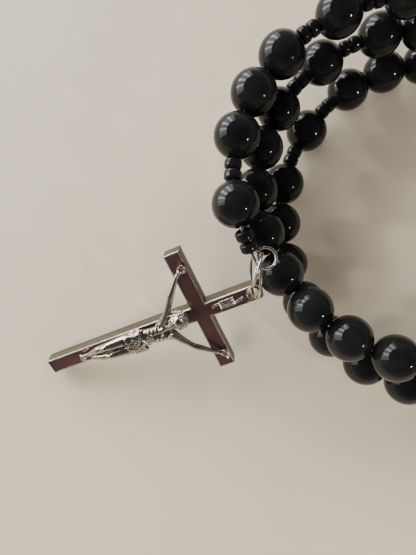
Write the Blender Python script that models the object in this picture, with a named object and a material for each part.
"""Five-decade rosary on a spring-wire coil, with a crucifix on a pair of jump rings. Lengths in millimetres."""

import math

import bmesh
import bpy
import numpy as np
from mathutils import Matrix, Vector

MM = 0.001

# Beads and spacers on the wire
BEAD_RADIUS = 4.0
BEAD_PITCH = 8.05
BEAD_RIM = 0.85
BEAD_BORE = 0.62
SEED_RADIUS = 1.45
SEED_LENGTH = 1.82
SEED_PITCH = 1.9
SEED_BORE = 0.58
FIRST_SEEDS_SLACK = 0.3
SPACED_AFTER = (0, 1, 4, 5, 15, 16, 26, 27, 37, 38, 48, 49, 59)
BEADS = 59
LOOSE_BEADS = {
    1: "pendant_our_father_bead",
    2: "pendant_hail_mary_bead_1",
    3: "pendant_hail_mary_bead_2",
    4: "pendant_hail_mary_bead_3",
    5: "our_father_bead_1",
    16: "our_father_bead_2",
    27: "our_father_bead_3",
    38: "our_father_bead_4",
    49: "our_father_bead_5",
}
DECADE_STARTS = (6, 17, 28, 39, 50)

# Spring wire: a coil that widens and drifts a little from turn to turn
WIRE_RADIUS = 0.3
COIL_RADIUS = 31.7
COIL_WIDENING = (0.27, 0.24)
COIL_OVAL = (0.43, -0.81)
COIL_OVAL_GROWTH = (-0.82, -0.04)
COIL_PITCH = 8.54
COIL_WARP = (0.89, -0.36)
COIL_DRIFT_X = (3.74, 0.71, -0.15)
COIL_DRIFT_Y = (-3.66, -1.79, 1.45)
COIL_START_DEG = -172.5
COIL_CENTRE = (13.16, 1.9, 23.11)
COIL_LEAN_DEG = (0.0, -5.56, -0.27)
WIRE_JOINTS_AFTER = (5, 16, 27, 38)
WIRE_JOINT_GAP = 0.12
END_DROP = 2.6
END_DROP_LENGTH = 5.2
LOOP_RADIUS = 1.75
LOOP_LEAD = 1.9
LOOP_SWEEP_DEG = 296

# Jump rings
RING_WIRE = 0.27
RINGS = (
    ("jump_ring", 4.14, (-18.3, -13.07, 13.98), (0.992, 0.047, -0.118)),
    ("spare_jump_ring", 3.15, (-18.1, -12.18, 15.57), (0.963, -0.267, 0.017)),
)

# Crucifix: X to the right arm, Y up to the ring hole, Z out of the front face
CROSS_FOOT = 32.3
CROSS_TOP = 11.7
CROSS_ARM = 12.5
CROSS_WIDTH = 3.0
CROSS_DEPTH = 2.7
CROSS_CORNER = 0.5
RIM_WIDTH = 0.25
RECESS_DEPTH = 0.62
ENAMEL_GAP = 0.02
HOLE_HEIGHT = 10.1
HOLE_RADIUS = 1.0
BOSS_RADIUS = 1.17
CROSS_HEADING_DEG = 19.9
CROSS_RISE_DEG = 12.5
CROSS_ROLL_DEG = 28.0
CROSS_CENTRE = (-27.88, -19.49, 10.02)

GLOSS_BLACK = (0.012, 0.012, 0.013)
SILVER = (0.66, 0.63, 0.59)
ENAMEL = (0.06, 0.022, 0.022)


def clear_scene():
    for obj in list(bpy.data.objects):
        bpy.data.objects.remove(obj, do_unlink=True)


def material(name, colour, roughness, metallic):
    made = bpy.data.materials.new(name)
    made.use_nodes = True
    shader = made.node_tree.nodes["Principled BSDF"]
    shader.inputs["Base Color"].default_value = (*colour, 1.0)
    shader.inputs["Roughness"].default_value = roughness
    shader.inputs["Metallic"].default_value = metallic
    made.diffuse_color = (*colour, 1.0)
    return made


def add_mesh(name, points, faces, surface, origin=(0.0, 0.0, 0.0), smooth=True):
    """One object whose vertices are given in the shared frame, with its origin at the given point."""
    origin = np.asarray(origin, float)
    mesh = bpy.data.meshes.new(name)
    mesh.from_pydata(((np.asarray(points) - origin) * MM).tolist(), [], faces)
    mesh.validate()
    shape = bmesh.new()
    shape.from_mesh(mesh)
    bmesh.ops.recalc_face_normals(shape, faces=shape.faces)
    shape.to_mesh(mesh)
    shape.free()
    mesh.materials.append(surface)
    mesh.polygons.foreach_set("use_smooth", [smooth] * len(mesh.polygons))
    obj = bpy.data.objects.new(name, mesh)
    obj.location = origin * MM
    bpy.context.scene.collection.objects.link(obj)
    return obj


# ---- the coil ----


def coil_frame():
    lean = [math.radians(angle) for angle in COIL_LEAN_DEG]
    turn = Matrix.Rotation(lean[2], 3, "Z") @ Matrix.Rotation(lean[1], 3, "Y")
    return np.array(turn @ Matrix.Rotation(lean[0], 3, "X"))


def coil_points(turns):
    angle = np.radians(COIL_START_DEG) - 2 * np.pi * turns
    past = turns - 1.0
    radius = (
        COIL_RADIUS
        + COIL_WIDENING[0] * past
        + COIL_WIDENING[1] * past**2
        + (COIL_OVAL[0] + COIL_OVAL_GROWTH[0] * past) * np.cos(2 * angle)
        + (COIL_OVAL[1] + COIL_OVAL_GROWTH[1] * past) * np.sin(2 * angle)
    )
    drift_x = sum(k * past ** (n + 1) for n, k in enumerate(COIL_DRIFT_X))
    drift_y = sum(k * past ** (n + 1) for n, k in enumerate(COIL_DRIFT_Y))
    warp = past * (COIL_WARP[0] * np.cos(angle) + COIL_WARP[1] * np.sin(angle))
    local = np.stack(
        [
            radius * np.cos(angle) + drift_x,
            radius * np.sin(angle) + drift_y,
            -COIL_PITCH * turns - warp,
        ],
        axis=1,
    )
    return local @ coil_frame().T + np.array(COIL_CENTRE)


class Strand:
    """The centre line of the wire, measured along its length from the middle of the first bead."""

    def __init__(self):
        turns = np.linspace(-0.1, 2.9, 9001)
        self.points = coil_points(turns)
        steps = np.linalg.norm(np.diff(self.points, axis=0), axis=1)
        along = np.concatenate([[0.0], np.cumsum(steps)])
        self.along = along - np.interp(0.0, turns, along)

    def at(self, s):
        """A point on the centre line. Past the first bead the wire bends down towards its eye."""
        past = min(max((-s - 3.8) / END_DROP_LENGTH, 0.0), 1.0)
        drop = END_DROP * past**2 * (3 - 2 * past)
        point = np.array([np.interp(s, self.along, self.points[:, k]) for k in range(3)])
        return point - drop * coil_frame()[:, 2]

    def tangent(self, s):
        step = self.at(s + 0.05) - self.at(s - 0.05)
        return step / np.linalg.norm(step)


def layout():
    """Where each bead and each pair of seeds sits along the strand."""
    beads, seeds = {}, {}
    s = -2 * SEED_PITCH - BEAD_PITCH / 2
    for index in range(BEADS + 1):
        if index:
            beads[index] = s + BEAD_PITCH / 2
            s += BEAD_PITCH
        if index in SPACED_AFTER:
            seeds[index] = s + SEED_PITCH - (0 if index else FIRST_SEEDS_SLACK)
            s += 2 * SEED_PITCH
    return beads, seeds


def cross_section(centre, axis, radius, sides):
    up = coil_frame()[:, 2]
    across = np.cross(axis, up)
    across /= np.linalg.norm(across)
    rise = np.cross(across, axis)
    angles = 2 * np.pi * np.arange(sides) / sides
    return [centre + radius * (math.cos(a) * across + math.sin(a) * rise) for a in angles]


def sleeve(rings):
    """Faces of a closed surface that runs through the rings in turn and back to the first."""
    sides = len(rings[0])
    faces = []
    for i in range(len(rings)):
        a, b = i * sides, (i + 1) % len(rings) * sides
        for j in range(sides):
            k = (j + 1) % sides
            faces.append((a + j, a + k, b + k, b + j))
    return np.concatenate(rings), faces


def strung(strand, centres, profile, bore, sides):
    """Bored pieces in a row: each follows the profile (offset, radius) about its own straight axis."""
    outer, inner = [], []
    for s in centres:
        middle, axis = strand.at(s), strand.tangent(s)
        for offset, radius in profile:
            outer.append(cross_section(middle + offset * axis, axis, radius, sides))
        for offset in (profile[0][0], profile[-1][0]):
            inner.append(cross_section(middle + offset * axis, axis, bore, sides))
    return sleeve(outer + inner[::-1])


def bead_profile(rings):
    end = math.asin(BEAD_RIM / BEAD_RADIUS)
    angles = [math.pi - end - (math.pi - 2 * end) * i / (rings - 1) for i in range(rings)]
    return [(BEAD_RADIUS * math.cos(a), BEAD_RADIUS * math.sin(a)) for a in angles]


def seed_profile():
    half = SEED_LENGTH / 2
    return [
        (-half, SEED_RADIUS * 0.72),
        (-half * 0.6, SEED_RADIUS),
        (half * 0.6, SEED_RADIUS),
        (half, SEED_RADIUS * 0.72),
    ]


def tube(path, radius, sides, closed=False):
    """A round rod along a path of points."""
    path = [np.asarray(p, float) for p in path]
    count = len(path)
    points, faces = [], []
    side = None
    for i, p in enumerate(path):
        before = path[i - 1] if i or closed else p
        after = path[(i + 1) % count] if i < count - 1 or closed else p
        axis = after - before
        axis /= np.linalg.norm(axis)
        if side is None:
            side = np.cross(axis, (0.0, 0.0, 1.0) if abs(axis[2]) < 0.9 else (1.0, 0.0, 0.0))
        side = side - axis * np.dot(side, axis)
        side /= np.linalg.norm(side)
        other = np.cross(axis, side)
        for j in range(sides):
            a = 2 * math.pi * j / sides
            points.append(p + radius * (math.cos(a) * side + math.sin(a) * other))
    for i in range(count if closed else count - 1):
        a, b = i * sides, (i + 1) % count * sides
        for j in range(sides):
            k = (j + 1) % sides
            faces.append((a + j, a + k, b + k, b + j))
    if not closed:
        faces.append(tuple(range(sides)))
        faces.append(tuple((count - 1) * sides + j for j in range(sides)))
    return np.array(points), faces


def end_loop(point, heading):
    """Points of the eye turned in the wire's end, bending towards the middle of the coil."""
    up = coil_frame()[:, 2]
    heading = heading - np.dot(heading, up) * up
    heading /= np.linalg.norm(heading)
    towards = np.cross(heading, up)
    inward = np.array(COIL_CENTRE) - point
    if np.dot(towards, inward) < 0:
        towards = -towards
    towards /= np.linalg.norm(towards)
    start = point + LOOP_LEAD * heading
    centre = start + LOOP_RADIUS * towards
    made = [point, start]
    steps = 15
    for i in range(1, steps + 1):
        a = math.radians(LOOP_SWEEP_DEG) * i / steps
        made.append(centre + LOOP_RADIUS * (math.sin(a) * heading - math.cos(a) * towards))
    return made


def build_strand(strand, black, silver):
    beads, seeds = layout()
    ball = bead_profile(6)
    for index, name in LOOSE_BEADS.items():
        s = beads[index]
        points, faces = strung(strand, [s], ball, BEAD_BORE, 12)
        add_mesh(name, points, faces, black, strand.at(s))
    for decade, first in enumerate(DECADE_STARTS, start=1):
        for pair in range(5):
            places = [beads[first + 2 * pair], beads[first + 2 * pair + 1]]
            points, faces = strung(strand, places, ball, BEAD_BORE, 12)
            add_mesh(
                f"decade_{decade}_beads_{2 * pair + 1}_{2 * pair + 2}",
                points,
                faces,
                black,
                strand.at(sum(places) / 2),
            )
    for number, s in enumerate(seeds.values(), start=1):
        places = [s - SEED_PITCH / 2, s + SEED_PITCH / 2]
        points, faces = strung(strand, places, seed_profile(), SEED_BORE, 8)
        add_mesh(f"seed_spacer_{number:02d}", points, faces, black, strand.at(s))
    first = seeds[0] - SEED_PITCH
    last = seeds[BEADS] + SEED_PITCH
    cuts = [beads[index] + BEAD_PITCH / 2 for index in WIRE_JOINTS_AFTER]
    starts = [first] + [s + WIRE_JOINT_GAP / 2 for s in cuts]
    ends = [s - WIRE_JOINT_GAP / 2 for s in cuts] + [last]
    for number, (a, b) in enumerate(zip(starts, ends), start=1):
        bend = np.arange(a, min(b, 0.0), 0.9)
        rest = np.linspace(max(a, 0.0), b, round((b - max(a, 0.0)) / 3.6) + 1)
        path = [strand.at(s) for s in np.concatenate([bend, rest])]
        if number == 1:
            path = end_loop(path[0], -strand.tangent(a))[:0:-1] + path
        if number == len(starts):
            path = path + end_loop(path[-1], strand.tangent(b))[1:]
        points, faces = tube(path, WIRE_RADIUS, 6)
        joint = strand.at(b + WIRE_JOINT_GAP / 2) if number < len(starts) else path[0]
        add_mesh(f"spring_wire_{number}", points, faces, silver, joint)


def build_rings(silver):
    for name, radius, centre, axis in RINGS:
        axis = np.array(axis) / np.linalg.norm(axis)
        u = np.cross(axis, (0.0, 0.0, 1.0))
        u /= np.linalg.norm(u)
        v = np.cross(axis, u)
        angles = 2 * np.pi * np.arange(24) / 24
        path = [np.array(centre) + radius * (math.cos(a) * u + math.sin(a) * v) for a in angles]
        points, faces = tube(path, RING_WIRE, 6, closed=True)
        add_mesh(name, points, faces, silver, centre)


# ---- the crucifix ----


def cross_axes():
    heading, rise, roll = (
        math.radians(a) for a in (CROSS_HEADING_DEG, CROSS_RISE_DEG, CROSS_ROLL_DEG)
    )
    long = np.array(
        [
            math.cos(rise) * math.cos(heading),
            math.cos(rise) * math.sin(heading),
            math.sin(rise),
        ]
    )
    level = np.array([math.sin(heading), -math.cos(heading), 0.0])
    front = np.cross(level, long)
    side = math.cos(roll) * level - math.sin(roll) * front
    return np.stack([side, long, np.cross(side, long)], axis=1)


def on_cross(points):
    return np.asarray(points, float) @ cross_axes().T + np.array(CROSS_CENTRE)


def cross_outline(inset):
    half = CROSS_WIDTH / 2 - inset
    arm, foot, top = CROSS_ARM - inset, CROSS_FOOT - inset, CROSS_TOP - inset
    cut = CROSS_CORNER
    return [
        (half, -foot),
        (half, -half),
        (arm, -half),
        (arm, half),
        (half, half),
        (half, top - cut),
        (half - 0.3 * cut, top - 0.3 * cut),
        (half - cut, top),
        (cut - half, top),
        (0.3 * cut - half, top - 0.3 * cut),
        (-half, top - cut),
        (-half, half),
        (-arm, half),
        (-arm, -half),
        (-half, -half),
        (-half, -foot),
    ]


def slab(outline, low, high):
    count = len(outline)
    points = [(x, y, low) for x, y in outline] + [(x, y, high) for x, y in outline]
    faces = [tuple(range(count)), tuple(range(count, 2 * count))]
    faces += [(i, (i + 1) % count, count + (i + 1) % count, count + i) for i in range(count)]
    return points, faces


def disc(x, y, radius, sides):
    turn = 2 * math.pi / sides
    return [(x + radius * math.cos(turn * i), y + radius * math.sin(turn * i)) for i in range(sides)]


def helper(name, outline, low, high, surface):
    points, faces = slab(outline, low, high)
    obj = add_mesh(name, on_cross(points), faces, surface, smooth=False)
    obj.hide_render = True
    obj.display_type = "WIRE"
    return obj


def boolean(obj, operation, other):
    step = obj.modifiers.new(other.name, "BOOLEAN")
    step.operation = operation
    step.solver = "EXACT"
    step.object = other


def capsule(a, ra, b, rb, sides=10):
    """A rounded limb between two balls, as one convex shape."""
    shape = bmesh.new()
    for centre, radius in ((a, ra), (b, rb)):
        where = Matrix.Translation(Vector(centre))
        bmesh.ops.create_icosphere(shape, subdivisions=2, radius=radius, matrix=where)
    hull = bmesh.ops.convex_hull(shape, input=shape.verts)
    spare = [g for g in hull["geom_interior"] + hull["geom_unused"] if isinstance(g, bmesh.types.BMVert)]
    bmesh.ops.delete(shape, geom=list(set(spare)), context="VERTS")
    shape.verts.index_update()
    points = [tuple(v.co) for v in shape.verts]
    faces = [tuple(v.index for v in f.verts) for f in shape.faces]
    shape.free()
    return points, faces


FIGURE_SCALE = 1.03
LIMBS = (
    # chest and belly
    ((-0.9, -6.6, 1.5), 1.25, (-0.1, -9.2, 1.6), 1.1),
    ((0.7, -6.4, 1.5), 1.2, (0.3, -9.2, 1.6), 1.1),
    ((0.1, -9.0, 1.6), 1.1, (0.2, -11.6, 1.6), 1.05),
    # hips and cloth
    ((-0.5, -12.4, 1.6), 1.3, (0.9, -12.8, 1.6), 1.35),
    ((-0.5, -13.0, 1.7), 1.3, (-0.8, -15.2, 1.9), 1.1),
    ((0.9, -13.0, 1.7), 1.3, (0.8, -15.2, 1.9), 1.1),
    ((1.6, -12.4, 1.5), 0.7, (2.3, -15.0, 1.3), 0.5),
    # neck and head
    ((-0.4, -6.0, 1.7), 0.7, (-1.2, -4.6, 2.4), 0.7),
    ((-1.35, -4.1, 2.6), 1.35, (-1.5, -3.5, 2.5), 1.45),
    # arms
    ((-1.6, -6.2, 1.5), 0.8, (-4.4, -4.4, 1.5), 0.58),
    ((-4.4, -4.4, 1.5), 0.58, (-8.0, -0.6, 0.9), 0.38),
    ((-8.0, -0.6, 0.9), 0.4, (-8.9, 0.5, 0.6), 0.45),
    ((1.4, -6.0, 1.5), 0.8, (4.8, -3.9, 1.5), 0.58),
    ((4.8, -3.9, 1.5), 0.58, (8.0, -0.4, 0.9), 0.38),
    ((8.0, -0.4, 0.9), 0.4, (8.9, 0.5, 0.6), 0.45),
    # legs and feet
    ((-0.8, -15.0, 1.9), 1.1, (-0.9, -18.6, 2.4), 0.82),
    ((0.8, -15.0, 1.9), 1.1, (0.6, -18.2, 2.4), 0.82),
    ((-0.9, -18.6, 2.4), 0.82, (-0.3, -22.4, 1.1), 0.5),
    ((0.6, -18.2, 2.4), 0.82, (0.2, -22.2, 1.2), 0.5),
    ((-0.2, -22.3, 1.1), 0.52, (0.0, -24.6, 0.72), 0.48),
)


def build_corpus(silver):
    points, faces = [], []
    for a, ra, b, rb in LIMBS:
        more, sides = capsule(a, ra, b, rb)
        more = [tuple(FIGURE_SCALE * k for k in point) for point in more]
        faces += [tuple(i + len(points) for i in face) for face in sides]
        points += more
    corpus = add_mesh("crucifix_corpus", on_cross(points), faces, silver, on_cross([(0, 0, 0)])[0])
    remesh = corpus.modifiers.new("one_body", "REMESH")
    remesh.mode = "VOXEL"
    remesh.voxel_size = 0.24 * MM
    remesh.use_smooth_shade = True
    fewer = corpus.modifiers.new("fewer_faces", "DECIMATE")
    fewer.ratio = 0.28


def build_crucifix(silver, satin, enamel):
    hole = on_cross([(0, HOLE_HEIGHT, -CROSS_DEPTH / 2)])[0]
    back = -CROSS_DEPTH
    points, faces = slab(cross_outline(0), back, 0)
    frame = add_mesh("crucifix_cross", on_cross(points), faces, satin, hole, smooth=False)
    recess = helper("recess_cutter", cross_outline(RIM_WIDTH), -RECESS_DEPTH, 1.0, satin)
    boss = helper("boss_shape", disc(0, HOLE_HEIGHT, BOSS_RADIUS, 20), back + 0.4, 0, satin)
    bore = helper("bore_cutter", disc(0, HOLE_HEIGHT, HOLE_RADIUS, 20), back - 1, 1.0, satin)
    boolean(frame, "DIFFERENCE", recess)
    boolean(frame, "UNION", boss)
    boolean(frame, "DIFFERENCE", bore)
    low, high = ENAMEL_GAP - RECESS_DEPTH, -0.04
    points, faces = slab(cross_outline(RIM_WIDTH + ENAMEL_GAP), low, high)
    inlay = add_mesh("crucifix_enamel", on_cross(points), faces, enamel, hole, smooth=False)
    ring = disc(0, HOLE_HEIGHT, BOSS_RADIUS + ENAMEL_GAP, 20)
    boolean(inlay, "DIFFERENCE", helper("boss_cutter", ring, -2.0, 1.0, enamel))
    scroll = [
        (-0.55, 2.5),
        (0.05, 2.6),
        (0.15, 3.5),
        (0.85, 3.7),
        (0.85, 6.5),
        (0.1, 6.7),
        (0.45, 7.9),
        (-0.15, 8.0),
        (-0.5, 6.6),
        (-0.85, 6.5),
        (-0.85, 3.7),
        (-0.35, 3.5),
    ]
    points, faces = slab(scroll, -0.02, 0.26)
    add_mesh("crucifix_scroll", on_cross(points), faces, silver, on_cross([(0, 5, 0)])[0], smooth=False)
    build_corpus(silver)


def main():
    clear_scene()
    black = material("black_glass", GLOSS_BLACK, 0.06, 0.0)
    silver = material("bright_silver", SILVER, 0.2, 1.0)
    satin = material("satin_silver", SILVER, 0.34, 1.0)
    enamel = material("maroon_enamel", ENAMEL, 0.12, 0.0)
    build_strand(Strand(), black, silver)
    build_rings(silver)
    build_crucifix(silver, satin, enamel)


main()
